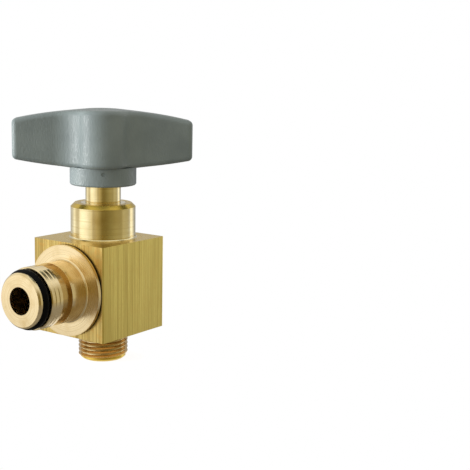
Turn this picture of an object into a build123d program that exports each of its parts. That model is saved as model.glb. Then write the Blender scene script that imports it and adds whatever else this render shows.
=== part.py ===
"""Boiler filling valve: an angle-pattern screw-down valve in a square brass bar.

Water enters the threaded tail from below, passes the seat and leaves through the spigot at the side.
Millimetres. The origin is on the stem axis at the block's underside, +Z runs up the stem and the
outlet points along -Y. The valve is drawn shut.
"""
import os
from math import atan, cos, sin

from build123d import *

# Outlet flange and the drawn square bar that it all but covers from side to side. The stem axis lies behind
# the bar's middle, which leaves length for the outlet thread.
FLANGE_DIAMETER = 21.6
FLANGE_MARGIN = 0.2
BLOCK_WIDTH = FLANGE_DIAMETER + 2 * FLANGE_MARGIN
BLOCK_FRONT = 12.3
BLOCK_BACK = BLOCK_WIDTH - BLOCK_FRONT
BLOCK_HEIGHT = 22.5
BLOCK_EDGE = 0.4

# Inlet tail, M12 x 1 over the crests.
TAIL_DIAMETER = 12.0
TAIL_LENGTH = 7.5
TAIL_CHAMFER = 0.9
INLET_BORE = 7.0
INLET_DEPTH = 9.5

# Raised seat and the chamber round it.
SEAT_BORE = 5.0
SEAT_LIP = 0.6
SEAT_LIP_HEIGHT = 1.2
SEAT_LEVEL = 5.5
CHAMBER_GAP = 1.2
CHAMBER_MARGIN = 0.55

# Outlet spigot, from its thread in the block out to its tip.
OUTLET_LEVEL = 11.25
SPIGOT_BORE = 6.4
SPIGOT_THREAD = 12.0
SPIGOT_THREAD_LENGTH = 4.3
SPIGOT_HOLE_RUNOUT = 0.3
GASKET_THICKNESS = 0.4
GASKET_INSET = 0.1
FLANGE_THICKNESS = 0.8
SPIGOT_DIAMETER = 14.5
BARREL_LENGTH = 4.7
BARREL_FILLET = 0.4
CLIP_GROOVE_WIDTH = 2.8
CLIP_GROOVE_DEPTH = 0.75
LAND_LENGTH = 3.5
LAND_CHAMFER = 0.2
SCRIBE_WIDTH = 0.3
SCRIBE_DEPTH = 0.12
SCRIBE_COUNT = 2
SPIGOT_SEAL_SECTION = 2.0
SPIGOT_SEAL_OUTER = 13.9
TIP_DIAMETER = 12.7
TIP_LENGTH = 0.9
TIP_CHAMFER = 0.4

# Stem: nose, thread, polished shaft and the square that drives the handle.
STEM_DIAMETER = 8.5
STEM_THREAD = 10.0
STEM_THREAD_LENGTH = 5.0
STEM_PITCH = 1.5
TURNS_OPEN = 1.75
STEM_NOSE = 7.2
STEM_EXPOSED = 4.35
STEM_ENTRY = 1.0
DRIVE_ACROSS = 6.0
DRIVE_LENGTH = 9.0
STEM_SEAL_SECTION = 1.3
STEM_SEAL_INSET = 0.9
STEM_SEAL_SPACING = 2.4

# Gland bush in the neck, kept by the lip rolled over its shoulder.
BUSH_WALL = 1.85
BUSH_LENGTH = 7.0
GLAND_SEAL_SECTION = 1.3
GLAND_SEAL_LEVEL = 3.6
NECK_WALL = 1.62
NECK_CHAMFER = 0.9
NECK_FILLET = 0.4
LIP_THICKNESS = 1.0
LIP_OVERLAP = 0.7
STOP_GAP = 0.2

# Jumper: cup for the rubber disc, with a stub that swivels in the stem's nose.
WASHER_THICKNESS = 2.2
WASHER_MARGIN = 0.3
CUP_WALL = 0.5
CUP_DEPTH = 1.5
CUP_FLOOR = 1.9
STUB_DIAMETER = 4.0
STUB_LENGTH = 6.8
RING_LEVEL = 4.8
RING_HEIGHT = 0.6
RING_WIDTH = 0.8
RING_GROOVE_DEPTH = 0.5
RING_SPLIT = 1.2
SOCKET_RUNOUT = 0.6
WASHER_SCREW_DIAMETER = 2.5
WASHER_SCREW_LENGTH = 6.0
WASHER_SCREW_HEAD = 3.8
WASHER_SCREW_HEAD_HEIGHT = 1.2
SLOT_WIDTH = 0.6
SLOT_DEPTH = 0.6

# Moulded wing handle and the screw that holds it.
HUB_DIAMETER = 15.9
HUB_HEIGHT = 4.27
HUB_EDGE = 0.5
HUB_BITE = 0.1
WING_ANGLE = 42.0
WING_LENGTH = 42.5
WING_THICKNESS = 6.0
WING_HEIGHT = 13.65
WING_CROWN = 2.5
WING_KEEL = 1.83
WING_FLAT = 16.0
KEEL_FULLNESS = 0.4
WING_ROUND = 1.2
WAIST_SPAN = 23.4
WAIST_DIAMETER = 18.8
WAIST_CROWN_RADIUS = 6.0
GATE_DIAMETER = 1.0
GATE_LEVEL = 3.1
GATE_DEPTH = 0.2
HANDLE_WEB = 3.5
COUNTERBORE = 8.0
CAP_LEDGE = 0.6
HANDLE_SCREW_DIAMETER = 4.0
HANDLE_SCREW_LENGTH = 10.0
HANDLE_SCREW_HEAD = 7.0
HANDLE_SCREW_HEAD_HEIGHT = 2.6
HANDLE_SCREW_ROUND = 0.8
CROSS_LENGTH = 3.6
CROSS_WIDTH = 0.9
CROSS_DEPTH = 1.4

# Clearances, each on the radius or on one side, and how near an edge must lie to be picked.
RUNNING = 0.05
STATIC = 0.03
SEAL_FIT = 0.02
GROOVE_PLAY = 0.05
SWIVEL_PLAY = 0.05
SCREW_PLAY = 0.2
EDGE_MATCH = 0.001

# Levels along the stem axis, from the seat upwards.
lift = STEM_PITCH * TURNS_OPEN
cup_top = SEAT_LEVEL + WASHER_THICKNESS + CUP_FLOOR
chamber_top = OUTLET_LEVEL + SPIGOT_BORE / 2 + CHAMBER_MARGIN
stem_shoulder = chamber_top + STEM_THREAD_LENGTH
bush_base = stem_shoulder + lift + STOP_GAP
bush_top = bush_base + BUSH_LENGTH
neck_top = bush_top + LIP_THICKNESS
hub_base = neck_top + STEM_EXPOSED
drive_base = hub_base + STEM_ENTRY
drive_top = drive_base + DRIVE_LENGTH
wing_base = hub_base + HUB_HEIGHT
wing_top = wing_base + WING_HEIGHT
screw_seat = drive_top + SCREW_PLAY + HANDLE_WEB
cap_base = screw_seat + HANDLE_SCREW_HEAD_HEIGHT + SCREW_PLAY

# Radii that follow from what runs inside them.
stem_r = STEM_DIAMETER / 2
bush_bore_r = stem_r + RUNNING
bush_r = bush_bore_r + BUSH_WALL
gland_bore_r = bush_r + STATIC
neck_r = gland_bore_r + NECK_WALL
lip_r = bush_r - LIP_OVERLAP
thread_bore_r = STEM_THREAD / 2 + RUNNING
washer_r = SEAT_BORE / 2 + SEAT_LIP + WASHER_MARGIN
cup_r = washer_r + STATIC + CUP_WALL
chamber_r = cup_r + CHAMBER_GAP
stub_r = STUB_DIAMETER / 2
ring_outer_r = stub_r - RING_GROOVE_DEPTH + GROOVE_PLAY + RING_WIDTH

# Distances along the outlet, measured outwards from the stem axis.
flange_back = BLOCK_FRONT + GASKET_THICKNESS
flange_face = flange_back + FLANGE_THICKNESS
groove_back = flange_face + BARREL_LENGTH
groove_front = groove_back + CLIP_GROOVE_WIDTH
land_front = groove_front + LAND_LENGTH
seal_width = SPIGOT_SEAL_SECTION + 2 * GROOVE_PLAY
tip_back = land_front + seal_width
tip_face = tip_back + TIP_LENGTH
thread_end = BLOCK_FRONT - SPIGOT_THREAD_LENGTH


def turned(*profile):
    """Solid of revolution about Z from (radius, height) points."""
    outline = Polyline(*[(r, 0, z) for r, z in profile], close=True)
    return revolve(make_face(outline), Axis.Z, 360)


def rod(diameter, low, high):
    """Cylinder on the stem axis between two levels."""
    return turned((0, low), (diameter / 2, low), (diameter / 2, high), (0, high))


def rims(solid, radius, level):
    """Circular edges of a given radius at a given level on the stem axis."""
    on_level = solid.edges().filter_by(GeomType.CIRCLE).filter_by_position(Axis.Z, level - EDGE_MATCH, level + EDGE_MATCH)
    return [edge for edge in on_level if abs(edge.radius - radius) < EDGE_MATCH]


def at_outlet(solid):
    """Lay a piece turned about Z along the outlet, its +Z pointing outwards along -Y."""
    return Pos(0, 0, OUTLET_LEVEL) * Rot(90, 0, 0) * solid


def seal_ring(outer_r, section, level):
    """Round O-ring of a given outer radius and cord section."""
    return Pos(0, 0, level) * Torus(outer_r - section / 2, section / 2)


def seal_floor(outer_r, section):
    """Floor radius of the groove that holds such a ring."""
    return outer_r - section - SEAL_FIT


def valve_body():
    """Square bar with the neck and tail turned on it, bored in steps from the tail up to the neck."""
    bar = Pos(0, (BLOCK_BACK - BLOCK_FRONT) / 2, BLOCK_HEIGHT / 2) * Box(
        BLOCK_WIDTH, BLOCK_FRONT + BLOCK_BACK, BLOCK_HEIGHT
    )
    bar = fillet(bar.edges().filter_by(Axis.Z), BLOCK_EDGE)
    spindle = turned(
        (0, -TAIL_LENGTH), (TAIL_DIAMETER / 2 - TAIL_CHAMFER, -TAIL_LENGTH),
        (TAIL_DIAMETER / 2, -TAIL_LENGTH + TAIL_CHAMFER), (TAIL_DIAMETER / 2, BLOCK_HEIGHT / 2),
        (neck_r, BLOCK_HEIGHT / 2), (neck_r, neck_top), (0, neck_top),
    )
    body = bar + spindle
    body = chamfer(rims(body, neck_r, neck_top), NECK_CHAMFER)
    body = fillet(rims(body, neck_r, BLOCK_HEIGHT), NECK_FILLET)

    seat_floor = SEAT_LEVEL - SEAT_LIP_HEIGHT
    lip_outer_r = SEAT_BORE / 2 + SEAT_LIP
    inlet_top = INLET_DEPTH - TAIL_LENGTH
    waterway = turned(
        (0, -TAIL_LENGTH), (INLET_BORE / 2, -TAIL_LENGTH), (INLET_BORE / 2, inlet_top),
        (SEAT_BORE / 2, inlet_top + (INLET_BORE - SEAT_BORE) / 2), (SEAT_BORE / 2, SEAT_LEVEL),
        (lip_outer_r, SEAT_LEVEL), (lip_outer_r, seat_floor), (chamber_r, seat_floor),
        (chamber_r, chamber_top), (thread_bore_r, chamber_top), (thread_bore_r, bush_base),
        (gland_bore_r, bush_base), (gland_bore_r, bush_top), (lip_r, bush_top), (lip_r, neck_top),
        (0, neck_top),
    )
    outlet = turned(
        (0, 0), (SPIGOT_BORE / 2, 0), (SPIGOT_BORE / 2, thread_end - SPIGOT_HOLE_RUNOUT),
        (SPIGOT_THREAD / 2 + STATIC, thread_end - SPIGOT_HOLE_RUNOUT),
        (SPIGOT_THREAD / 2 + STATIC, BLOCK_FRONT), (0, BLOCK_FRONT),
    )
    return body - waterway - at_outlet(outlet)


def outlet_spigot():
    """Turned connector: thread, thin flange, barrel, clip groove, scribed land, seal groove and tip."""
    r = SPIGOT_DIAMETER / 2
    groove_r = r - CLIP_GROOVE_DEPTH
    floor_r = seal_floor(SPIGOT_SEAL_OUTER / 2, SPIGOT_SEAL_SECTION)
    spacing = LAND_LENGTH / (SCRIBE_COUNT + 1)
    scribes = []
    for count in range(1, SCRIBE_COUNT + 1):
        middle = groove_front + count * spacing
        scribes += [(r, middle - SCRIBE_WIDTH / 2), (r - SCRIBE_DEPTH, middle), (r, middle + SCRIBE_WIDTH / 2)]
    spigot = turned(
        (SPIGOT_BORE / 2, thread_end), (SPIGOT_THREAD / 2, thread_end), (SPIGOT_THREAD / 2, flange_back),
        (FLANGE_DIAMETER / 2, flange_back), (FLANGE_DIAMETER / 2, flange_face), (r, flange_face),
        (r, groove_back), (groove_r, groove_back), (groove_r, groove_front),
        (r - LAND_CHAMFER, groove_front), (r, groove_front + LAND_CHAMFER),
        *scribes, (r, land_front - LAND_CHAMFER), (r - LAND_CHAMFER, land_front),
        (floor_r, land_front), (floor_r, tip_back), (TIP_DIAMETER / 2, tip_back),
        (TIP_DIAMETER / 2, tip_face - TIP_CHAMFER), (TIP_DIAMETER / 2 - TIP_CHAMFER, tip_face),
        (SPIGOT_BORE / 2, tip_face),
    )
    spigot = fillet(rims(spigot, r, flange_face), BARREL_FILLET)
    return at_outlet(spigot)


def spigot_o_ring():
    """O-ring half sunk in the groove behind the spigot's tip."""
    return at_outlet(seal_ring(SPIGOT_SEAL_OUTER / 2, SPIGOT_SEAL_SECTION, (land_front + tip_back) / 2))


def flange_gasket():
    """Flat sealing ring between the flange and the block's face."""
    inner_r, outer_r = SPIGOT_THREAD / 2 + STATIC, FLANGE_DIAMETER / 2 - GASKET_INSET
    ring = turned((inner_r, BLOCK_FRONT), (outer_r, BLOCK_FRONT), (outer_r, flange_back), (inner_r, flange_back))
    return at_outlet(ring)


stem_seal_r = bush_bore_r - SEAL_FIT
stem_seal_low = bush_base + STEM_SEAL_INSET
stem_seal_high = stem_seal_low + STEM_SEAL_SPACING
ring_low = cup_top + RING_LEVEL
ring_high = ring_low + RING_HEIGHT


def stem():
    """Spindle with the jumper's socket in its nose, two seal grooves and a square end tapped for the screw."""
    groove_r = seal_floor(stem_seal_r, STEM_SEAL_SECTION)
    half = STEM_SEAL_SECTION / 2 + GROOVE_PLAY
    socket_r = stub_r + RUNNING
    nose_base = cup_top + SWIVEL_PLAY
    socket_top = cup_top + STUB_LENGTH + SOCKET_RUNOUT
    hollow_r = ring_outer_r + SCREW_PLAY
    spindle = turned(
        (0, nose_base), (STEM_NOSE / 2, nose_base), (STEM_NOSE / 2, chamber_top),
        (STEM_THREAD / 2, chamber_top), (STEM_THREAD / 2, stem_shoulder), (stem_r, stem_shoulder),
        (stem_r, stem_seal_low - half), (groove_r, stem_seal_low - half),
        (groove_r, stem_seal_low + half), (stem_r, stem_seal_low + half),
        (stem_r, stem_seal_high - half), (groove_r, stem_seal_high - half),
        (groove_r, stem_seal_high + half), (stem_r, stem_seal_high + half),
        (stem_r, drive_top), (0, drive_top),
    )
    socket = turned(
        (0, nose_base), (socket_r, nose_base), (socket_r, ring_low - SCREW_PLAY),
        (hollow_r, ring_low - SCREW_PLAY), (hollow_r, ring_high + SCREW_PLAY),
        (socket_r, ring_high + SCREW_PLAY), (socket_r, socket_top), (0, socket_top),
    )
    square = Pos(0, 0, drive_base + DRIVE_LENGTH / 2) * (
        Box(2 * STEM_DIAMETER, 2 * STEM_DIAMETER, DRIVE_LENGTH) - Box(DRIVE_ACROSS, DRIVE_ACROSS, DRIVE_LENGTH)
    )
    tapped = rod(HANDLE_SCREW_DIAMETER + 2 * STATIC, screw_seat - HANDLE_SCREW_LENGTH - SCREW_PLAY, drive_top)
    return Rot(0, 0, WING_ANGLE) * (spindle - socket - square - tapped)


def gland_bush():
    """Bush that guides the stem, with a static seal groove outside and a collar that fills the neck's mouth."""
    groove_r = seal_floor(gland_bore_r - SEAL_FIT, GLAND_SEAL_SECTION)
    middle = bush_base + GLAND_SEAL_LEVEL
    half = GLAND_SEAL_SECTION / 2 + GROOVE_PLAY
    collar_r = lip_r - STATIC
    return turned(
        (bush_bore_r, bush_base), (bush_r, bush_base), (bush_r, middle - half), (groove_r, middle - half),
        (groove_r, middle + half), (bush_r, middle + half), (bush_r, bush_top), (collar_r, bush_top),
        (collar_r, neck_top), (bush_bore_r, neck_top),
    )


def jumper():
    """Cup that holds the rubber disc, with a tapped stub grooved for its wire ring."""
    cup_rim = SEAT_LEVEL + WASHER_THICKNESS - CUP_DEPTH
    cup_floor = SEAT_LEVEL + WASHER_THICKNESS
    groove_r = stub_r - RING_GROOVE_DEPTH
    holder = turned(
        (0, cup_floor), (washer_r + STATIC, cup_floor), (washer_r + STATIC, cup_rim), (cup_r, cup_rim),
        (cup_r, cup_top), (stub_r, cup_top), (stub_r, ring_low - GROOVE_PLAY),
        (groove_r, ring_low - GROOVE_PLAY), (groove_r, ring_high + GROOVE_PLAY),
        (stub_r, ring_high + GROOVE_PLAY), (stub_r, cup_top + STUB_LENGTH), (0, cup_top + STUB_LENGTH),
    )
    depth = WASHER_SCREW_LENGTH - WASHER_THICKNESS + SCREW_PLAY
    return holder - rod(WASHER_SCREW_DIAMETER + 2 * STATIC, cup_floor, cup_floor + depth)


def jumper_ring():
    """Split wire ring, half in the stub's groove and half in the stem's."""
    inner_r = ring_outer_r - RING_WIDTH
    ring = turned((inner_r, ring_low), (ring_outer_r, ring_low), (ring_outer_r, ring_high), (inner_r, ring_high))
    return ring - Pos(ring_outer_r, 0, ring_low + RING_HEIGHT / 2) * Box(2 * ring_outer_r, RING_SPLIT, 2 * RING_HEIGHT)


def seat_washer():
    """Rubber disc that closes on the seat's lip."""
    disc = rod(2 * washer_r, SEAT_LEVEL, SEAT_LEVEL + WASHER_THICKNESS)
    return disc - rod(WASHER_SCREW_DIAMETER + 2 * STATIC, SEAT_LEVEL, SEAT_LEVEL + WASHER_THICKNESS)


def washer_screw():
    """Slotted cheese-head screw, its head hanging inside the seat's bore."""
    head_low = SEAT_LEVEL - WASHER_SCREW_HEAD_HEIGHT
    screw = rod(WASHER_SCREW_HEAD, head_low, SEAT_LEVEL) + rod(
        WASHER_SCREW_DIAMETER, SEAT_LEVEL, SEAT_LEVEL + WASHER_SCREW_LENGTH
    )
    return screw - Pos(0, 0, head_low + SLOT_DEPTH / 2) * Box(2 * WASHER_SCREW_HEAD, SLOT_WIDTH, SLOT_DEPTH)


def wing_plan():
    """Outline seen from above: flat wings that swell through concave flanks into a round waist."""
    half_l, half_t, crest = WING_LENGTH / 2, WING_THICKNESS / 2, WAIST_DIAMETER / 2
    span = WAIST_SPAN / 2
    slope = 2 * atan((crest - half_t) / span)
    flank_r = span / sin(slope) - WAIST_CROWN_RADIUS
    turn = (WAIST_CROWN_RADIUS * sin(slope), crest - WAIST_CROWN_RADIUS * (1 - cos(slope)))
    mid = (span - flank_r * sin(slope / 2), half_t + flank_r * (1 - cos(slope / 2)))
    side = [
        Line((half_l, 0), (half_l, half_t)), Line((half_l, half_t), (span, half_t)),
        ThreePointArc((span, half_t), mid, turn),
        ThreePointArc(turn, (0, crest), (-turn[0], turn[1])),
        ThreePointArc((-turn[0], turn[1]), (-mid[0], mid[1]), (-span, half_t)),
        Line((-span, half_t), (-half_l, half_t)), Line((-half_l, half_t), (-half_l, 0)),
    ]
    return make_face(Curve() + side + [edge.mirror(Plane.XZ) for edge in side])


def wing_side():
    """Outline seen from the front: arched above, flat below the hub and rising to upright ends."""
    half_l, half_f = WING_LENGTH / 2, WING_FLAT / 2
    low, high = wing_base + WING_KEEL, wing_top - WING_CROWN
    bend = ((half_l + half_f) / 2, wing_base + WING_KEEL * KEEL_FULLNESS)
    return make_face(Curve() + [
        ThreePointArc((-half_l, 0, high), (0, 0, wing_top), (half_l, 0, high)),
        Line((half_l, 0, high), (half_l, 0, low)),
        ThreePointArc((half_l, 0, low), (bend[0], 0, bend[1]), (half_f, 0, wing_base)),
        Line((half_f, 0, wing_base), (-half_f, 0, wing_base)),
        ThreePointArc((-half_f, 0, wing_base), (-bend[0], 0, bend[1]), (-half_l, 0, low)),
        Line((-half_l, 0, low), (-half_l, 0, high)),
    ])


def wing_slab():
    """Block between the wing's upper and lower arches, as deep as the waist on each side."""
    return extrude(wing_side(), WAIST_DIAMETER, dir=(0, 1, 0), both=True)


def handle():
    """Wing handle moulded in one piece with its hub, socketed for the stem and counterbored for screw and cap."""
    column = Pos(0, 0, wing_base - WING_ROUND) * extrude(wing_plan(), WING_HEIGHT + 2 * WING_ROUND, dir=(0, 0, 1))
    wing = fillet((column & wing_slab()).edges(), WING_ROUND)
    hub = rod(HUB_DIAMETER, hub_base, wing_base + HUB_BITE)
    grip = fillet(rims(wing + hub, HUB_DIAMETER / 2, hub_base), HUB_EDGE)

    bores = turned(
        (0, hub_base), (stem_r + SCREW_PLAY, hub_base), (stem_r + SCREW_PLAY, drive_base), (0, drive_base),
    )
    socket = Pos(0, 0, (drive_base + drive_top + SCREW_PLAY) / 2) * Box(
        DRIVE_ACROSS + 2 * RUNNING, DRIVE_ACROSS + 2 * RUNNING, DRIVE_LENGTH + SCREW_PLAY
    )
    screw_hole = rod(HANDLE_SCREW_DIAMETER + 2 * SCREW_PLAY, drive_top, screw_seat)
    counterbore = rod(COUNTERBORE, screw_seat, cap_base) + rod(COUNTERBORE + 2 * CAP_LEDGE, cap_base, wing_top)
    gate = Pos(0, -HUB_DIAMETER / 2, hub_base + GATE_LEVEL) * Rot(90, 0, 0) * Cylinder(
        GATE_DIAMETER / 2, 2 * GATE_DEPTH
    )
    return Rot(0, 0, WING_ANGLE) * (grip - bores - socket - screw_hole - counterbore - gate)


def handle_screw():
    """Cross-recessed pan-head screw at the foot of the counterbore."""
    head_top = screw_seat + HANDLE_SCREW_HEAD_HEIGHT
    head = rod(HANDLE_SCREW_HEAD, screw_seat, head_top)
    head = fillet(rims(head, HANDLE_SCREW_HEAD / 2, head_top), HANDLE_SCREW_ROUND)
    cross = Box(CROSS_LENGTH, CROSS_WIDTH, 2 * CROSS_DEPTH) + Box(CROSS_WIDTH, CROSS_LENGTH, 2 * CROSS_DEPTH)
    return head + rod(HANDLE_SCREW_DIAMETER, screw_seat - HANDLE_SCREW_LENGTH, screw_seat) - Pos(0, 0, head_top) * cross


def screw_cap():
    """Plug on the counterbore's ledge, its face following the wing's crown."""
    plug = rod(COUNTERBORE + 2 * (CAP_LEDGE - STATIC), cap_base, wing_top)
    return Rot(0, 0, WING_ANGLE) * (plug & wing_slab())


PIECES = {
    "valve_body": valve_body(),
    "outlet_spigot": outlet_spigot(),
    "spigot_o_ring": spigot_o_ring(),
    "flange_gasket": flange_gasket(),
    "gland_bush": gland_bush(),
    "gland_o_ring": seal_ring(gland_bore_r - SEAL_FIT, GLAND_SEAL_SECTION, bush_base + GLAND_SEAL_LEVEL),
    "stem": stem(),
    "stem_o_ring_lower": seal_ring(stem_seal_r, STEM_SEAL_SECTION, stem_seal_low),
    "stem_o_ring_upper": seal_ring(stem_seal_r, STEM_SEAL_SECTION, stem_seal_high),
    "jumper": jumper(),
    "jumper_ring": jumper_ring(),
    "seat_washer": seat_washer(),
    "washer_screw": washer_screw(),
    "handle": handle(),
    "handle_screw": handle_screw(),
    "screw_cap": screw_cap(),
}

os.makedirs("parts", exist_ok=True)
for name, piece in PIECES.items():
    export_step(piece, f"parts/{name}.step")
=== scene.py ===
"""Dresses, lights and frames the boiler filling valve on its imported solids.

Everything is in metres and in the frame of the solids: the origin lies on the stem axis at the
block's underside, +Z runs up the stem and the outlet points along -Y.
"""
import logging
from dataclasses import dataclass
from enum import Enum
from math import cos, hypot, pi, radians, sin
from typing import Any

import bmesh
import bpy
from mathutils import Matrix, Vector


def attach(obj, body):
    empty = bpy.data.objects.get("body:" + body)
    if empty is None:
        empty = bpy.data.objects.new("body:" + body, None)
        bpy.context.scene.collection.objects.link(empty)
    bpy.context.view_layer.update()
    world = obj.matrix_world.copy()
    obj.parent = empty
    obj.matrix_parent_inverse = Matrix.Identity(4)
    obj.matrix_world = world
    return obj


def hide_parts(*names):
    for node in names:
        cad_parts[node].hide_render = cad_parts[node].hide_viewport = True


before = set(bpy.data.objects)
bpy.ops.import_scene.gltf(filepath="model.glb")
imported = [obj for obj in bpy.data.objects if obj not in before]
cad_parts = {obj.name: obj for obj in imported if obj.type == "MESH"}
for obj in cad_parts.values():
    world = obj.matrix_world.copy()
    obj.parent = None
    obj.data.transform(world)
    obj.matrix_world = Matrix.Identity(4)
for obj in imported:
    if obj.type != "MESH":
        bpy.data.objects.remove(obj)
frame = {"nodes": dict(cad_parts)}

LOG = logging.getLogger("filling_valve")
MM = 0.001
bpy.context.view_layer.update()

Colour = tuple[float, float, float, float]
Span = tuple[float, float]
Sockets = dict[Any, Any]


class Axis(Enum):
    """Lathe axis of a turned piece: the turn that lays it along Z, and a point that it runs through."""

    STEM = ((0.0, 0.0, 0.0), (0.0, 0.0, 0.0))
    OUTLET = ((-pi / 2, 0.0, 0.0), (0.0, 0.0, 11.25 * MM))


class Face(Enum):
    """Material slot of each kind of face on the block."""

    TURNED = 0
    DRAWN = 1
    SCUFFED = 2
    FACED = 3


def linear(code: str) -> Colour:
    """Turn an sRGB hex colour into linear light.

    Args:
        code: Six hex digits after a hash sign.

    Returns:
        Red, green, blue and an alpha of 1.
    """
    parts = [int(code[i:i + 2], 16) / 255 for i in (1, 3, 5)]
    return (*[c / 12.92 if c <= 0.04045 else ((c + 0.055) / 1.055) ** 2.4 for c in parts], 1.0)


def scaled(code: str, level: float) -> Colour:
    """Linear colour of a light: its tone times its level."""
    return (*[c * level for c in linear(code)[:3]], 1.0)


def add(
    tree: bpy.types.NodeTree,
    kind: str,
    settings: Sockets | None = None,
    links: Sockets | None = None,
) -> bpy.types.Node:
    """Add one node with its settings and its incoming links.

    Args:
        tree: Node tree that takes the node.
        kind: Blender's name of the node type.
        settings: Node properties by name, and socket values by socket name or number.
        links: Output sockets that feed the inputs, by socket name or number.

    Returns:
        The new node.
    """
    made = tree.nodes.new(kind)
    values = settings or {}
    own = [key for key in values if isinstance(key, str) and hasattr(made, key)]
    for key in own:
        setattr(made, key, values[key])
    for key, value in values.items():
        if key not in own:
            made.inputs[key].default_value = value
    for key, output in (links or {}).items():
        tree.links.new(output, made.inputs[key])
    return made


def new_material(name: str) -> tuple[bpy.types.Material, bpy.types.NodeTree]:
    """Start a material with an empty tree.

    Args:
        name: The finish's name.

    Returns:
        The material and its tree.
    """
    material = bpy.data.materials.new(name)
    material.use_nodes = True
    material.node_tree.nodes.clear()
    return material, material.node_tree


def into_scene(name: str, data: bpy.types.ID) -> bpy.types.Object:
    """Put an object that shows a mesh, a lamp or a camera in the scene.

    Args:
        name: The object's name.
        data: What it shows.

    Returns:
        The new object, at the origin.
    """
    made = bpy.data.objects.new(name, data)
    bpy.context.scene.collection.objects.link(made)
    return made


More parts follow.
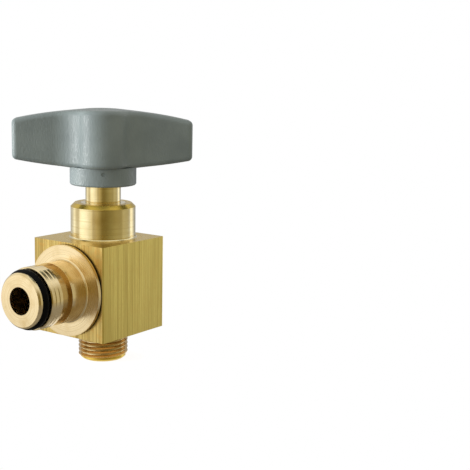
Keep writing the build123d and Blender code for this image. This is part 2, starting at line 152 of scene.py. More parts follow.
@dataclass(frozen=True)
class TurnedBrass:
    """Free-cutting brass straight off the lathe: bright, with tool lines that run round the axis."""

    name: str
    axis: Axis
    tint: str = "#ecdeb0"
    # Darker tone for stains and tool scoring, and for painted shade and reflection.
    dulled_and_shaded: str = "#c6ac6c"
    roughness: float = 0.11
    gloss_spread: Span = (0.8, 1.35)
    line_mm: float = 0.7
    line_depth_mm: float = 0.035
    line_levels: Span = (0.7, 1.3)
    relief: float = 0.6
    score: float = 0.6
    score_levels: Span = (0.95, 1.2)
    # Darker clouds, given by size, share and noise levels: handling stains, which on the outlet also paint
    # dark reflection.
    stain_and_reflection_mm: float = 5.0
    stain_and_reflection: float = 0.6
    stain_and_reflection_levels: Span = (0.4, 0.75)
    flange_mm: Span = (7.7, 8.0)
    flange_roughness: float = 0.0
    # Span of a groove along the axis, and the share of painted shade laid in it.
    groove_mm: Span = (0.0, 0.0)
    groove_painted_shade: float = 0.0

    def material(self) -> bpy.types.Material:
        """Make the node material.

        Returns:
            A metal whose tool lines follow both the length and the radius of the piece.
        """
        material, tree = new_material(self.name)
        where = add(tree, "ShaderNodeTexCoord").outputs["Object"]
        turn, middle = self.axis.value
        centred = add(
            tree, "ShaderNodeVectorMath", {"operation": "SUBTRACT", 1: middle},
            {0: where},
        )
        laid = add(
            tree, "ShaderNodeMapping", {"Rotation": turn},
            {"Vector": centred.outputs["Vector"]},
        )
        split = add(tree, "ShaderNodeSeparateXYZ", {}, {"Vector": laid.outputs["Vector"]})
        flat = add(
            tree, "ShaderNodeVectorMath", {"operation": "MULTIPLY", 1: (1, 1, 0)},
            {0: laid.outputs["Vector"]},
        )
        reach = add(
            tree, "ShaderNodeVectorMath", {"operation": "LENGTH"},
            {0: flat.outputs["Vector"]},
        )
        # Tool feed is some 0.1 mm; it is drawn a few times coarser so that it still shows.
        feed = {
            "noise_dimensions": "1D", "Scale": 1 / (self.line_mm * MM), "Detail": 3.0, "Roughness": 0.65,
        }
        along = add(tree, "ShaderNodeTexNoise", feed, {"W": split.outputs["Z"]})
        across = add(tree, "ShaderNodeTexNoise", feed, {"W": reach.outputs["Value"]})
        lines = add(
            tree, "ShaderNodeMath", {"operation": "ADD"},
            {0: along.outputs["Fac"], 1: across.outputs["Fac"]},
        )
        # Darker clouds: handling stains, which on the outlet also paint dark reflections.
        stain_and_reflection_noise = add(
            tree, "ShaderNodeTexNoise", {"Scale": 1 / (self.stain_and_reflection_mm * MM), "Detail": 4.0},
            {"Vector": where},
        )
        cloud = add(
            tree, "ShaderNodeMapRange",
            {"From Min": self.stain_and_reflection_levels[0], "From Max": self.stain_and_reflection_levels[1],
             "To Max": self.stain_and_reflection},
            {"Value": stain_and_reflection_noise.outputs["Fac"]},
        )
        scored = add(
            tree, "ShaderNodeMapRange",
            {"From Min": self.score_levels[0], "From Max": self.score_levels[1],
             "To Max": self.score},
            {"Value": lines.outputs["Value"]},
        )
        wear_and_reflection = add(
            tree, "ShaderNodeMath", {"operation": "MAXIMUM"},
            {0: cloud.outputs["Result"], 1: scored.outputs["Result"]},
        )
        # Painted shade: the groove is drawn towards the darker tone, for the shade and dark reflection
        # that lie in it.
        start, end = self.groove_mm
        in_groove = add(
            tree, "ShaderNodeMath",
            {"operation": "COMPARE", 1: (start + end) / 2 * MM, 2: (end - start) / 2 * MM},
            {0: split.outputs["Z"]},
        )
        painted_groove_shade = add(
            tree, "ShaderNodeMath", {"operation": "MULTIPLY", 1: self.groove_painted_shade},
            {0: in_groove.outputs["Value"]},
        )
        share = add(
            tree, "ShaderNodeMath", {"operation": "MAXIMUM"},
            {0: wear_and_reflection.outputs["Value"], 1: painted_groove_shade.outputs["Value"]},
        )
        colour = add(
            tree, "ShaderNodeMix",
            {"data_type": "RGBA", 6: linear(self.tint), 7: linear(self.dulled_and_shaded)},
            {0: share.outputs["Value"]},
        )
        rough = add(
            tree, "ShaderNodeMapRange",
            {"From Min": self.line_levels[0], "From Max": self.line_levels[1],
             "To Min": self.roughness * self.gloss_spread[0],
             "To Max": self.roughness * self.gloss_spread[1]},
            {"Value": lines.outputs["Value"]},
        )
        # A wide flange is faced with a coarser feed than the barrel, and shines less.
        flange = add(
            tree, "ShaderNodeMapRange",
            {"From Min": self.flange_mm[0] * MM, "From Max": self.flange_mm[1] * MM,
             "To Max": self.flange_roughness},
            {"Value": reach.outputs["Value"]},
        )
        matt = add(
            tree, "ShaderNodeMath", {"operation": "ADD"},
            {0: rough.outputs["Result"], 1: flange.outputs["Result"]},
        )
        ridges = add(
            tree, "ShaderNodeBump", {"Strength": self.relief, "Distance": self.line_depth_mm * MM},
            {"Height": lines.outputs["Value"]},
        )
        shader = add(
            tree, "ShaderNodeBsdfPrincipled", {"Metallic": 1.0},
            {"Base Color": colour.outputs[2], "Roughness": matt.outputs["Value"],
             "Normal": ridges.outputs["Normal"]},
        )
        add(tree, "ShaderNodeOutputMaterial", {}, {"Surface": shader.outputs["BSDF"]})
        return material


@dataclass(frozen=True)
class DrawnBrass:
    """Bar brass as it leaves the die: olive gold, with long streaks down the bar and warm scuffs."""

    name: str
    tint: str = "#f2e088"
    streak: str = "#bda75a"
    streak_mm: float = 0.32
    stretch: float = 120.0
    streak_levels: Span = (0.48, 0.78)
    broad_scale: float = 0.22
    broad_share: float = 0.18
    scuff: str = "#dcb866"
    scuffed: float = 0.3
    scuff_mm: float = 1.3
    scuff_levels: Span = (0.45, 0.7)
    roughness: float = 0.34
    gloss_spread: Span = (0.75, 1.3)
    gloss_levels: Span = (0.35, 0.7)
    depth_mm: float = 0.02
    relief: float = 0.5

    def material(self) -> bpy.types.Material:
        """Make the node material.

        Returns:
            A metal with upright die streaks in its colour, gloss and relief.
        """
        material, tree = new_material(self.name)
        where = add(tree, "ShaderNodeTexCoord").outputs["Object"]
        fine = 1 / (self.streak_mm * MM)
        pulled = add(
            tree, "ShaderNodeMapping", {"Scale": (fine, fine, fine / self.stretch)},
            {"Vector": where},
        )
        streaks = add(
            tree, "ShaderNodeTexNoise", {"Scale": 1.0, "Detail": 5.0, "Roughness": 0.7},
            {"Vector": pulled.outputs["Vector"]},
        )
        broad = add(
            tree, "ShaderNodeTexNoise", {"Scale": self.broad_scale, "Detail": 2.0},
            {"Vector": pulled.outputs["Vector"]},
        )
        both = add(
            tree, "ShaderNodeMath", {"operation": "MULTIPLY_ADD", 1: self.broad_share},
            {0: broad.outputs["Fac"], 2: streaks.outputs["Fac"]},
        )
        share = add(
            tree, "ShaderNodeMapRange",
            {"From Min": self.streak_levels[0], "From Max": self.streak_levels[1]},
            {"Value": both.outputs["Value"]},
        )
        clean = add(
            tree, "ShaderNodeMix",
            {"data_type": "RGBA", 6: linear(self.tint), 7: linear(self.streak)},
            {0: share.outputs["Result"]},
        )
        rubbed = add(
            tree, "ShaderNodeTexNoise",
            {"Scale": 1 / (self.scuff_mm * MM), "Detail": 6.0, "Roughness": 0.75},
            {"Vector": where},
        )
        patch = add(
            tree, "ShaderNodeMapRange",
            {"From Min": self.scuff_levels[0], "From Max": self.scuff_levels[1],
             "To Max": self.scuffed},
            {"Value": rubbed.outputs["Fac"]},
        )
        colour = add(
            tree, "ShaderNodeMix", {"data_type": "RGBA", 7: linear(self.scuff)},
            {0: patch.outputs["Result"], 6: clean.outputs[2]},
        )
        rough = add(
            tree, "ShaderNodeMapRange",
            {"From Min": self.gloss_levels[0], "From Max": self.gloss_levels[1],
             "To Min": self.roughness * self.gloss_spread[0],
             "To Max": self.roughness * self.gloss_spread[1]},
            {"Value": streaks.outputs["Fac"]},
        )
        ridges = add(
            tree, "ShaderNodeBump", {"Strength": self.relief, "Distance": self.depth_mm * MM},
            {"Height": streaks.outputs["Fac"]},
        )
        shader = add(
            tree, "ShaderNodeBsdfPrincipled", {"Metallic": 1.0},
            {"Base Color": colour.outputs[2], "Roughness": rough.outputs["Result"],
             "Normal": ridges.outputs["Normal"]},
        )
        add(tree, "ShaderNodeOutputMaterial", {}, {"Surface": shader.outputs["BSDF"]})
        return material


@dataclass(frozen=True)
class Nitrile:
    """Moulded nitrile rubber: deep black with a weak sheen and a trace of mould bloom."""

    name: str
    tint: str = "#030303"
    bloom: str = "#08080a"
    bloom_mm: float = 1.6
    roughness: float = 0.45
    gloss: float = 0.06
    depth_mm: float = 0.02
    relief: float = 0.3

    def material(self) -> bpy.types.Material:
        """Make the node material.

        Returns:
            A black rubber with faint cloudy bloom.
        """
        material, tree = new_material(self.name)
        where = add(tree, "ShaderNodeTexCoord").outputs["Object"]
        cloud = add(
            tree, "ShaderNodeTexNoise", {"Scale": 1 / (self.bloom_mm * MM), "Detail": 5.0},
            {"Vector": where},
        )
        colour = add(
            tree, "ShaderNodeMix",
            {"data_type": "RGBA", 6: linear(self.tint), 7: linear(self.bloom)},
            {0: cloud.outputs["Fac"]},
        )
        skin = add(
            tree, "ShaderNodeBump", {"Strength": self.relief, "Distance": self.depth_mm * MM},
            {"Height": cloud.outputs["Fac"]},
        )
        shader = add(
            tree, "ShaderNodeBsdfPrincipled",
            {"Roughness": self.roughness, "Specular IOR Level": self.gloss},
            {"Base Color": colour.outputs[2], "Normal": skin.outputs["Normal"]},
        )
        add(tree, "ShaderNodeOutputMaterial", {}, {"Surface": shader.outputs["BSDF"]})
        return material


@dataclass(frozen=True)
class MouldedNylon:
    """Grey nylon from a spark-eroded mould: satin, with a fine grain that glints in raking light."""

    name: str
    tint: str = "#6d7778"
    flow: str = "#626c6e"
    flow_mm: float = 7.0
    flow_levels: Span = (0.35, 0.7)
    ior: float = 1.53
    roughness: float = 0.38
    gloss_spread: Span = (1.25, 0.75)
    gloss_levels: Span = (0.42, 0.66)
    grain_mm: float = 0.4
    upright: float = 0.45
    depth_mm: float = 0.09
    relief: float = 0.8

    def material(self) -> bpy.types.Material:
        """Make the node material.

        Returns:
            A satin plastic with mould grain and faint flow clouds.
        """
        material, tree = new_material(self.name)
        where = add(tree, "ShaderNodeTexCoord").outputs["Object"]
        # The real grain is near 0.1 mm; it is drawn coarser, and pulled upright, so that it shows.
        fine = 1 / (self.grain_mm * MM)
        pulled = add(
            tree, "ShaderNodeMapping", {"Scale": (fine, fine, fine * self.upright)},
            {"Vector": where},
        )
        grain = add(
            tree, "ShaderNodeTexNoise", {"Scale": 1.0, "Detail": 4.0, "Roughness": 0.6},
            {"Vector": pulled.outputs["Vector"]},
        )
        clouds = add(
            tree, "ShaderNodeTexNoise", {"Scale": 1 / (self.flow_mm * MM), "Detail": 3.0},
            {"Vector": where},
        )
        share = add(
            tree, "ShaderNodeMapRange",
            {"From Min": self.flow_levels[0], "From Max": self.flow_levels[1]},
            {"Value": clouds.outputs["Fac"]},
        )
        colour = add(
            tree, "ShaderNodeMix",
            {"data_type": "RGBA", 6: linear(self.tint), 7: linear(self.flow)},
            {0: share.outputs["Result"]},
        )
        rough = add(
            tree, "ShaderNodeMapRange",
            {"From Min": self.gloss_levels[0], "From Max": self.gloss_levels[1],
             "To Min": self.roughness * self.gloss_spread[0],
             "To Max": self.roughness * self.gloss_spread[1]},
            {"Value": grain.outputs["Fac"]},
        )
        skin = add(
            tree, "ShaderNodeBump", {"Strength": self.relief, "Distance": self.depth_mm * MM},
            {"Height": grain.outputs["Fac"]},
        )
        shader = add(
            tree, "ShaderNodeBsdfPrincipled", {"IOR": self.ior},
            {"Base Color": colour.outputs[2], "Roughness": rough.outputs["Result"],
             "Normal": skin.outputs["Normal"]},
        )
        add(tree, "ShaderNodeOutputMaterial", {}, {"Surface": shader.outputs["BSDF"]})
        return material


@dataclass(frozen=True)
class ZincSteel:
    """Zinc-plated steel: pale, slightly blue and finely mottled."""

    name: str
    tint: str = "#c3c6cb"
    mottle: str = "#9da2ab"
    mottle_mm: float = 0.7
    roughness: float = 0.28

    def material(self) -> bpy.types.Material:
        """Make the node material.

        Returns:
            A plated metal with a fine mottle.
        """
        material, tree = new_material(self.name)
        where = add(tree, "ShaderNodeTexCoord").outputs["Object"]
        spots = add(
            tree, "ShaderNodeTexNoise", {"Scale": 1 / (self.mottle_mm * MM), "Detail": 4.0},
            {"Vector": where},
        )
        colour = add(
            tree, "ShaderNodeMix",
            {"data_type": "RGBA", 6: linear(self.tint), 7: linear(self.mottle)},
            {0: spots.outputs["Fac"]},
        )
        shader = add(
            tree, "ShaderNodeBsdfPrincipled", {"Metallic": 1.0, "Roughness": self.roughness},
            {"Base Color": colour.outputs[2]},
        )
        add(tree, "ShaderNodeOutputMaterial", {}, {"Surface": shader.outputs["BSDF"]})
        return material


@dataclass
class SubAssembly:
    """Pieces that are built and dressed together on one body of the valve."""

    nodes: dict[str, bpy.types.Object]
    body: str = "body"

    def coat(self, material: bpy.types.Material, *names: str) -> None:
        """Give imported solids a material.

        Args:
            material: The finish.
            names: Nodes that take it.
        """
        for name in names:
            self.nodes[name].data.materials.clear()
            self.nodes[name].data.materials.append(material)
            LOG.info("%s: %s", name, material.name)

    def place(self, name: str, mesh: bpy.types.Mesh, slot: str) -> bpy.types.Object:
        """Put a new piece in the scene on this sub-assembly's body.

        Args:
            name: The piece's name.
            mesh: Its finished mesh.
            slot: Material slot in the record; not used.

        Returns:
            The new object, at the origin.
        """
        piece = into_scene(name, mesh)
        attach(piece, self.body)
        LOG.info("%s: %d faces", name, len(mesh.polygons))
        return piece


@dataclass
class ValveBlock(SubAssembly):
    """Square bar with its turned neck and its threaded tail."""

    block_height: float = 22.5 * MM
    flank_reach: float = 9.0 * MM
    foot: float = 1.2 * MM
    tail_radius: float = 6.0 * MM
    root_radius: float = 5.35 * MM
    pitch: float = 1.0 * MM
    thread_start: float = -7.15 * MM
    thread_turns: float = 6.85
    steps_per_turn: int = 64
    bite: float = 0.1 * MM
    # Widths of the ridge at its foot and at its crest, as shares of the pitch.
    foot_share: float = 0.98
    crest_share: float = 0.16
    # Shares of its run where the ridge has its full size and begins to fade, and its size at the ends.
    lead_in: float = 0.08
    run_out: float = 0.97
    faded: float = 0.02
    crease: float = radians(28)
    # Distances under which corners count as one, and as lying on a level or on the tail's surface.
    weld: float = 1e-7
    on_level: float = 1e-6
    on_tail: float = 1e-5
    # Parts of a normal past which a face is flat, an end of the bar, or the flank with the outlet.
    flat: float = 0.9999
    end_slope: float = 0.3
    flank_slope: float = 0.9

    def build(
        self, turned: bpy.types.Material, drawn: bpy.types.Material, scuffed: bpy.types.Material,
        faced: bpy.types.Material, threaded: bpy.types.Material,
    ) -> None:
        """Replace the plain block by one with its tail cut down to the thread's root, and wind the thread.

        Args:
            turned: Finish of the neck and the bores.
            drawn: Finish of the bar's flanks.
            scuffed: Finish of the flank that the outlet was bored and tapped in.
            faced: Finish of the ends and of the neck's rolled lip.
            threaded: Finish of the thread.
        """
        mesh = bpy.data.meshes.new("block")
        shape = bmesh.new()
        shape.from_mesh(self.nodes["valve_body"].data)
        bmesh.ops.remove_doubles(shape, verts=shape.verts, dist=self.weld)
        for vert in shape.verts:
            reach = hypot(vert.co.x, vert.co.y)
            if vert.co.z < self.on_level and abs(reach - self.tail_radius) < self.on_tail:
                vert.co.x *= self.root_radius / reach
                vert.co.y *= self.root_radius / reach
        shape.normal_update()
        for face in shape.faces:
            face.material_index = self.kind_of(face).value
            face.smooth = max(abs(c) for c in face.normal) < self.flat
        self.mark_creases(shape)
        shape.to_mesh(mesh)
        shape.free()
        for finish in (turned, drawn, scuffed, faced):
            mesh.materials.append(finish)
        block = self.place("block", mesh, "brass_drawn")
        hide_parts("valve_body")
        self.wind(threaded)

    def kind_of(self, face: bmesh.types.BMFace) -> Face:
        """Tell how a face of the block was made.

        Args:
            face: The face.

        Returns:
            Its kind, from its place and direction.
        """
        middle = face.calc_center_median()
        in_foot = self.on_level < middle.z - self.block_height < self.foot
        if abs(face.normal.z) > self.end_slope and not in_foot:
            return Face.FACED
        if not 0 < middle.z < self.block_height or hypot(middle.x, middle.y) < self.flank_reach:
            return Face.TURNED
        return Face.SCUFFED if face.normal.y < -self.flank_slope else Face.DRAWN

    def mark_creases(self, shape: bmesh.types.BMesh) -> None:
        """Keep open edges, and edges bent past the crease angle, sharp."""
        for edge in shape.edges:
            edge.smooth = len(edge.link_faces) == 2 and edge.calc_face_angle(pi) < self.crease

    def wind(self, finish: bpy.types.Material) -> None:
        """Wind the ridge of the inlet thread round the tail.

        Args:
            finish: Metal of the ridge.
        """
        tree = bpy.data.node_groups.new("inlet_thread", "GeometryNodeTree")
        sizes = {
            "Pitch": self.pitch,
            "Turns": self.thread_turns,
            "Root Radius": self.root_radius,
            "Depth": self.tail_radius - self.root_radius,
            "Bite": self.bite,
            "Start": self.thread_start,
        }
        front = tree.interface
        sockets = {
            name: front.new_socket(name, in_out="INPUT", socket_type="NodeSocketFloat") for name in sizes
        }
        metal = front.new_socket("Finish", in_out="INPUT", socket_type="NodeSocketMaterial")
        front.new_socket("Geometry", in_out="OUTPUT", socket_type="NodeSocketGeometry")
        self.plot_thread(tree)

        seed = into_scene("thread_seed", bpy.data.meshes.new("thread_seed"))
        winder = seed.modifiers.new("wind", "NODES")
        winder.node_group = tree
        for name, size in sizes.items():
            winder[sockets[name].identifier] = size
        winder[metal.identifier] = finish
        wound = seed.evaluated_get(bpy.context.evaluated_depsgraph_get())
        mesh = bpy.data.meshes.new_from_object(wound)
        seed.modifiers.remove(winder)
        bpy.data.objects.remove(seed)
        shape = bmesh.new()
        shape.from_mesh(mesh)
        bmesh.ops.recalc_face_normals(shape, faces=shape.faces)
        for face in shape.faces:
            face.smooth = True
        self.mark_creases(shape)
        shape.to_mesh(mesh)
        shape.free()
        self.place("tail_thread", mesh, "brass_drawn")

    def plot_thread(self, tree: bpy.types.NodeTree) -> None:
        """Fill the thread's tree: a ridge swept along a helix, which rises first and fades at the end.

        Args:
            tree: Geometry tree with the thread's sizes and its finish as inputs.
        """
        given = add(tree, "NodeGroupInput").outputs
        rise = add(
            tree, "ShaderNodeMath", {"operation": "MULTIPLY"},
            {0: given["Pitch"], 1: given["Turns"]},
        )
        helix = add(
            tree, "GeometryNodeCurveSpiral", {"Resolution": self.steps_per_turn, "Reverse": True},
            {"Rotations": given["Turns"], "Start Radius": given["Root Radius"],
             "End Radius": given["Root Radius"], "Height": rise.outputs["Value"]},
        )
        upright = add(
            tree, "GeometryNodeSetCurveNormal", {"mode": "Z_UP"},
            {"Curve": helix.outputs["Curve"]},
        )
        tall = add(
            tree, "ShaderNodeMath", {"operation": "ADD"},
            {0: given["Depth"], 1: given["Bite"]},
        )
        base = add(
            tree, "ShaderNodeMath", {"operation": "MULTIPLY", 1: self.foot_share},
            {0: given["Pitch"]},
        )
        crest = add(
            tree, "ShaderNodeMath", {"operation": "MULTIPLY", 1: self.crest_share},
            {0: given["Pitch"]},
        )
        ridge = add(
            tree, "GeometryNodeCurvePrimitiveQuadrilateral", {"mode": "TRAPEZOID", "Offset": 0.0},
            {"Height": tall.outputs["Value"], "Bottom Width": base.outputs["Value"],
             "Top Width": crest.outputs["Value"]},
        )
        slack = add(
            tree, "ShaderNodeMath", {"operation": "SUBTRACT"},
            {0: given["Depth"], 1: given["Bite"]},
        )
        half = add(
            tree, "ShaderNodeMath", {"operation": "MULTIPLY", 1: 0.5},
            {0: slack.outputs["Value"]},
        )
        lifted = add(tree, "ShaderNodeCombineXYZ", {}, {"X": half.outputs["Value"]})
        outward = add(
            tree, "GeometryNodeTransform", {"Rotation": (0, 0, -pi / 2)},
            {"Geometry": ridge.outputs["Curve"], "Translation": lifted.outputs["Vector"]},
        )
        run = add(tree, "GeometryNodeSplineParameter").outputs["Factor"]
        lead = add(
            tree, "ShaderNodeMapRange",
            {"From Min": 0.0, "From Max": self.lead_in, "To Min": self.faded, "To Max": 1.0},
            {"Value": run},
        )
        fade = add(
            tree, "ShaderNodeMapRange",
            {"From Min": self.run_out, "From Max": 1.0, "To Min": 1.0, "To Max": self.faded},
            {"Value": run},
        )
        swell = add(
            tree, "ShaderNodeMath", {"operation": "MINIMUM"},
            {0: lead.outputs["Result"], 1: fade.outputs["Result"]},
        )
        swept = add(
            tree, "GeometryNodeCurveToMesh", {"Fill Caps": True},
            {"Curve": upright.outputs["Curve"], "Profile Curve": outward.outputs["Geometry"],
             "Scale": swell.outputs["Value"]},
        )
        level = add(tree, "ShaderNodeCombineXYZ", {}, {"Z": given["Start"]})
        lowered = add(
            tree, "GeometryNodeTransform", {},
            {"Geometry": swept.outputs["Mesh"], "Translation": level.outputs["Vector"]},
        )
        real = add(
            tree, "GeometryNodeRealizeInstances", {},
            {"Geometry": lowered.outputs["Geometry"]},
        )
        dressed = add(
            tree, "GeometryNodeSetMaterial", {},
            {"Geometry": real.outputs["Geometry"], "Material": given["Finish"]},
        )
        add(tree, "NodeGroupOutput", {}, {"Geometry": dressed.outputs["Geometry"]})


@dataclass
class Outlet(SubAssembly):
    """Spigot, its O-ring and the gasket behind its flange."""

    def dress(self, brass: bpy.types.Material, rubber: bpy.types.Material) -> None:
        """Give the outlet's pieces their finishes.

        Args:
            brass: Metal of the spigot.
            rubber: Material of both seals.
        """
        self.coat(brass, "outlet_spigot")
        self.coat(rubber, "spigot_o_ring", "flange_gasket")


@dataclass
class Gland(SubAssembly):
    """Bush in the neck and the seal round it."""

    def dress(self, brass: bpy.types.Material, rubber: bpy.types.Material) -> None:
        """Give the gland's pieces their finishes.

        Args:
            brass: Metal of the bush.
            rubber: Material of the seal.
        """
        self.coat(brass, "gland_bush")
        self.coat(rubber, "gland_o_ring")


@dataclass
class Closure(SubAssembly):
    """Jumper with its ring, its rubber disc and the disc's screw."""

    body: str = "closure"

    def dress(
        self, brass: bpy.types.Material, rubber: bpy.types.Material, steel: bpy.types.Material
    ) -> None:
        """Give the closure's pieces their finishes.

        Args:
            brass: Metal of the jumper and the screw.
            rubber: Material of the disc.
            steel: Metal of the wire ring.
        """
        self.coat(brass, "jumper", "washer_screw")
        self.coat(rubber, "seat_washer")
        self.coat(steel, "jumper_ring")


@dataclass
class Spindle(SubAssembly):
    """Stem with its seals, the wing handle, the handle's screw and the cap over it."""

    body: str = "spindle"

    def dress(
        self, brass: bpy.types.Material, rubber: bpy.types.Material, nylon: bpy.types.Material,
        steel: bpy.types.Material,
    ) -> None:
        """Give the spindle's pieces their finishes.

        Args:
            brass: Metal of the stem.
            rubber: Material of the seals.
            nylon: Plastic of the handle and the cap.
            steel: Metal of the screw.
        """
        self.coat(brass, "stem")
        self.coat(rubber, "stem_o_ring_lower", "stem_o_ring_upper")
        self.coat(nylon, "handle", "screw_cap")
        self.coat(steel, "handle_screw")


@dataclass(frozen=True)
class SoftBox:
    """Square white lamp, placed by degrees of bearing from the camera's side, left negative, and of lift.

    Its distance and its side are in metres and its power in watts.
    """

    name: str
    bearing: float
    lift: float
    away: float
    side: float
    power: float

    def hang(
        self, aim: Vector, toward_camera: float, only: tuple[bpy.types.Object, ...] = ()
    ) -> None:
        """Hang the box so that it faces the valve.

        Args:
            aim: Point that it faces.
            toward_camera: Angle in plan of the camera's side.
            only: Pieces that it lights and that mirror it. Without any it lights all, unmirrored.
        """
        lamp = bpy.data.lights.new(self.name, "AREA")
        lamp.shape = "SQUARE"
        lamp.size = self.side
        lamp.energy = self.power
        hung = into_scene(self.name, lamp)
        plan = toward_camera + radians(self.bearing)
        lift = radians(self.lift)
        back = Vector((cos(plan) * cos(lift), sin(plan) * cos(lift), sin(lift)))
        hung.location = aim + back * self.away
        hung.rotation_mode = "QUATERNION"
        hung.rotation_quaternion = back.to_track_quat("Z", "Y")
        hung.visible_glossy = bool(only)
        if only:
            lit = bpy.data.collections.new(self.name)
            for piece in only:
                lit.objects.link(piece)
            hung.light_linking.receiver_collection = lit


@dataclass
class Studio:
    """White room with a tinted scrim, a small white table, soft boxes and the camera."""

    # The sheen box lights only these pieces, to make their grain glint.
    sheen_on: tuple[bpy.types.Object, ...]
    lamps: tuple[SoftBox, ...] = (
        SoftBox("key", -84, 9, 0.50, 0.22, 3.7),
        SoftBox("glint", -122, 4, 0.30, 0.09, 0.6),
        SoftBox("fill", 8, 2, 0.50, 0.25, 0.62),
    )
    sheen: SoftBox = SoftBox("sheen", -82, 0, 0.30, 0.08, 0.3)
    aim: tuple[float, float, float] = (0.0, 0.0, 22 * MM)
    floor_level: float = -7.5 * MM
    table_radius: float = 10 * MM
    table_sides: int = 96
    paper: str = "#f4f4f4"
    # The paper's glow to the eye and to metal, and its share; the rest takes the shadow.
    glow: float = 1.14
    glow_share: float = 0.8
    scrim_radius: float = 1.5
    toward_camera: float = radians(-47.96)
    # What the scrim lets through of the white room: angle in plan from the camera's side, left
    # negative, tone and level. It is bright at the left, dim and warm in front and pale behind.
    # Past a level of 1 it glows.
    walls: tuple[tuple[float, str, float], ...] = (
        (-180, "#ffffff", 0.6), (-150, "#ffffff", 0.6), (-135, "#ffffff", 0.8),
        (-120, "#ffffff", 1.3), (-110, "#fffaf0", 0.85), (-96, "#fff6e6", 0.75),
        (-88, "#ffffff", 1.38), (-76, "#ffffff", 1.48), (-60, "#ffffff", 1.28),
        (-48, "#fffcee", 1.0), (-42, "#fff6e0", 1.0), (-36, "#fff0cc", 0.6),
        (-23, "#ffebb4", 0.58), (-13, "#ffe8a2", 0.4), (-4, "#ffe28a", 0.24),
        (10, "#ffe48a", 0.23), (26, "#ffeca0", 0.3), (46, "#ffedaa", 0.4),
        (68, "#fff0b8", 0.42), (74, "#fff4c8", 0.58), (99, "#fff8d8", 0.55),
        (107, "#ffffff", 0.6), (115, "#ffffff", 1.5), (128, "#ffffff", 1.0),
        (142, "#eef2ff", 0.45), (180, "#ffffff", 0.6),
    )
    # Tone and level overhead and below, and the heights on a unit dome where each begins and is full.
    overhead: tuple[str, float] = ("#fffdf4", 0.9)
    overhead_heights: Span = (0.3, 0.65)
    below: tuple[str, float] = ("#fff6e6", 0.3)
    below_heights: Span = (-0.15, -0.45)
    camera_place: tuple[float, float, float] = (161.72 * MM, -179.33 * MM, 63.29 * MM)
    azimuth: float = radians(34.431)
    elevation: float = radians(9.444)
    roll: float = radians(1.248)
    sensor: float = 36.0
    focal_pixels: float = 1000.0
    frame_pixels: float = 470.0
    clip: Span = (0.01, 20.0)

    def build(self) -> None:
        """Set the table, the room, the scrim, the lamps and the camera."""
        self.set_floor()
        self.set_room()
        self.set_scrim()
        for lamp in self.lamps:
            lamp.hang(Vector(self.aim), self.toward_camera)
        self.sheen.hang(Vector(self.aim), self.toward_camera, self.sheen_on)
        self.set_camera()
        bpy.context.scene.view_settings.view_transform = "Standard"

    def set_floor(self) -> None:
        """Lay the small white table: it takes a soft shadow and stays white to the eye and the metal."""
        mesh = bpy.data.meshes.new("floor")
        reach = self.table_radius
        turns = [2 * pi * step / self.table_sides for step in range(self.table_sides)]
        rim = [(reach * cos(turn), reach * sin(turn), self.floor_level) for turn in turns]
        mesh.from_pydata(rim, [], [range(self.table_sides)])
        material, tree = new_material("white_paper")
        paper = add(tree, "ShaderNodeBsdfDiffuse", {"Color": linear(self.paper)})
        glow = add(tree, "ShaderNodeEmission", {"Color": linear("#ffffff"), "Strength": self.glow})
        path = add(tree, "ShaderNodeLightPath").outputs
        either = add(
            tree, "ShaderNodeMath", {"operation": "ADD"},
            {0: path["Is Camera Ray"], 1: path["Is Glossy Ray"]},
        )
        any_seen = add(
            tree, "ShaderNodeMath", {"operation": "ADD", "use_clamp": True},
            {0: either.outputs["Value"], 1: path["Is Transmission Ray"]},
        )
        seen = add(
            tree, "ShaderNodeMath", {"operation": "MULTIPLY", 1: self.glow_share},
            {0: any_seen.outputs["Value"]},
        )
        mixed = add(
            tree, "ShaderNodeMixShader", {},
            {0: seen.outputs["Value"], 1: paper.outputs["BSDF"], 2: glow.outputs["Emission"]},
        )
        add(tree, "ShaderNodeOutputMaterial", {}, {"Surface": mixed.outputs["Shader"]})
        mesh.materials.append(material)
        into_scene("floor", mesh)

    def set_room(self) -> None:
        """Fill the room with plain white, which the eye, the metal and the plastic all see."""
        world = bpy.data.worlds.new("white_room")
        bpy.context.scene.world = world
        world.use_nodes = True
        tree = world.node_tree
        tree.nodes.clear()
        light = add(tree, "ShaderNodeBackground", {"Color": linear("#ffffff"), "Strength": 1.0})
        add(tree, "ShaderNodeOutputWorld", {}, {"Surface": light.outputs["Background"]})

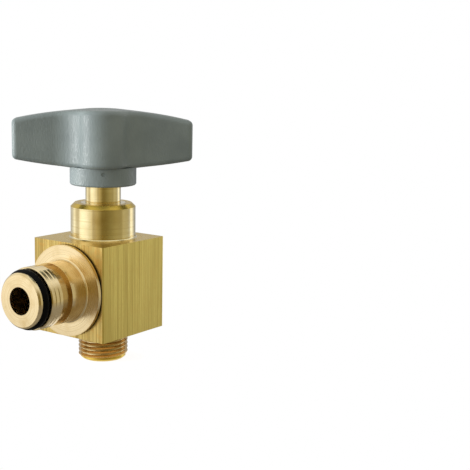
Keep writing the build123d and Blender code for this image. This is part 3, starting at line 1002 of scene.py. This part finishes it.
    def set_scrim(self) -> None:
        """Hang a dome of scrim that tints the white room, and glows where it is brightest."""
        mesh = bpy.data.meshes.new("scrim")
        shape = bmesh.new()
        bmesh.ops.create_icosphere(shape, subdivisions=4, radius=self.scrim_radius)
        shape.to_mesh(mesh)
        shape.free()
        material, tree = new_material("tinted_scrim")
        where = add(tree, "ShaderNodeTexCoord").outputs["Object"]
        way = add(tree, "ShaderNodeVectorMath", {"operation": "NORMALIZE"}, {0: where})
        turned = add(
            tree, "ShaderNodeVectorRotate",
            {"rotation_type": "Z_AXIS", "Angle": -self.toward_camera},
            {"Vector": way.outputs["Vector"]},
        )
        bearing = add(
            tree, "ShaderNodeTexGradient", {"gradient_type": "RADIAL"},
            {"Vector": turned.outputs["Vector"]},
        )
        walls = add(tree, "ShaderNodeValToRGB", {}, {"Fac": bearing.outputs["Fac"]})
        stops = walls.color_ramp.elements
        for angle, tone, level in self.walls[1:-1]:
            stops.new(0.5 + angle / 360).color = scaled(tone, level)
        stops[0].color = scaled(*self.walls[0][1:])
        stops[len(stops) - 1].color = scaled(*self.walls[-1][1:])
        height = add(tree, "ShaderNodeSeparateXYZ", {}, {"Vector": way.outputs["Vector"]})
        tint = walls.outputs["Color"]
        ends = ((self.overhead, self.overhead_heights), (self.below, self.below_heights))
        for shade, (begins, full) in ends:
            share = add(
                tree, "ShaderNodeMapRange",
                {"interpolation_type": "SMOOTHSTEP", "From Min": begins, "From Max": full},
                {"Value": height.outputs["Z"]},
            )
            tint = add(
                tree, "ShaderNodeMix", {"data_type": "RGBA", 7: scaled(*shade)},
                {0: share.outputs["Result"], 6: tint},
            ).outputs[2]
        cloth = add(tree, "ShaderNodeVectorMath", {"operation": "MINIMUM", 1: (1, 1, 1)}, {0: tint})
        spare = add(
            tree, "ShaderNodeVectorMath", {"operation": "SUBTRACT"},
            {0: tint, 1: cloth.outputs["Vector"]},
        )
        sheer = add(tree, "ShaderNodeBsdfTransparent", {}, {"Color": cloth.outputs["Vector"]})
        boxes = add(
            tree, "ShaderNodeEmission", {"Strength": 1.0},
            {"Color": spare.outputs["Vector"]},
        )
        both = add(
            tree, "ShaderNodeAddShader", {},
            {0: sheer.outputs["BSDF"], 1: boxes.outputs["Emission"]},
        )
        add(tree, "ShaderNodeOutputMaterial", {}, {"Surface": both.outputs["Shader"]})
        mesh.materials.append(material)
        scrim = into_scene("scrim", mesh)
        scrim.visible_camera = False

    def set_camera(self) -> None:
        """Stand the camera where the photograph was taken from."""
        camera = bpy.data.cameras.new("camera")
        camera.sensor_width = self.sensor
        camera.lens = self.focal_pixels / self.frame_pixels * self.sensor
        camera.clip_start, camera.clip_end = self.clip
        flat = cos(self.elevation)
        back = Vector((sin(self.azimuth) * flat, -cos(self.azimuth) * flat, sin(self.elevation)))
        level = Vector((cos(self.azimuth), sin(self.azimuth), 0.0))
        plumb = back.cross(level)
        right = level * cos(self.roll) + plumb * sin(self.roll)
        up = plumb * cos(self.roll) - level * sin(self.roll)
        turn = Matrix((right, up, back)).transposed().to_4x4()
        stand = into_scene("camera", camera)
        stand.matrix_world = Matrix.Translation(self.camera_place) @ turn
        bpy.context.scene.camera = stand


def main() -> None:
    """Build and dress the valve, then set up the studio round it."""
    logging.basicConfig(level=logging.INFO, format="%(name)s %(message)s")
    nodes = frame["nodes"]
    stem_brass = TurnedBrass("turned_brass_stem", Axis.STEM).material()
    # On the outlet the darker clouds are partly painted dark reflection, and the groove takes painted
    # shade.
    outlet_brass = TurnedBrass(
        "turned_brass_outlet", Axis.OUTLET, tint="#f2deb2", dulled_and_shaded="#bc9440", roughness=0.21,
        line_mm=0.5, line_depth_mm=0.01, score=0.32, stain_and_reflection_mm=3.0, stain_and_reflection=0.45,
        stain_and_reflection_levels=(0.46, 0.75), flange_roughness=0.05, groove_mm=(18.2, 21.0), groove_painted_shade=0.7,
    ).material()
    threaded = TurnedBrass(
        "thread_brass", Axis.STEM, tint="#dab87c", dulled_and_shaded="#b08a4a", roughness=0.2
    ).material()
    faced = TurnedBrass(
        "faced_brass", Axis.STEM, tint="#dabb56", dulled_and_shaded="#c8a84a", roughness=0.25, line_mm=1.2,
        line_depth_mm=0.008, score=0.3,
    ).material()
    drawn = DrawnBrass("drawn_brass_bar").material()
    scuffed = DrawnBrass(
        "scuffed_brass_bar", tint="#e6cd80", streak="#a08646", scuff="#d8a450", scuffed=0.65,
        roughness=0.36,
    ).material()
    rubber = Nitrile("nitrile_black").material()
    steel = ZincSteel("zinc_plated_steel").material()
    nylon = MouldedNylon("moulded_nylon_grey").material()

    ValveBlock(nodes).build(stem_brass, drawn, scuffed, faced, threaded)
    Outlet(nodes).dress(outlet_brass, rubber)
    Gland(nodes).dress(stem_brass, rubber)
    Closure(nodes).dress(stem_brass, rubber, steel)
    Spindle(nodes).dress(stem_brass, rubber, nylon, steel)
    Studio((nodes["handle"], nodes["screw_cap"])).build()


if __name__ == "__main__":
    main()
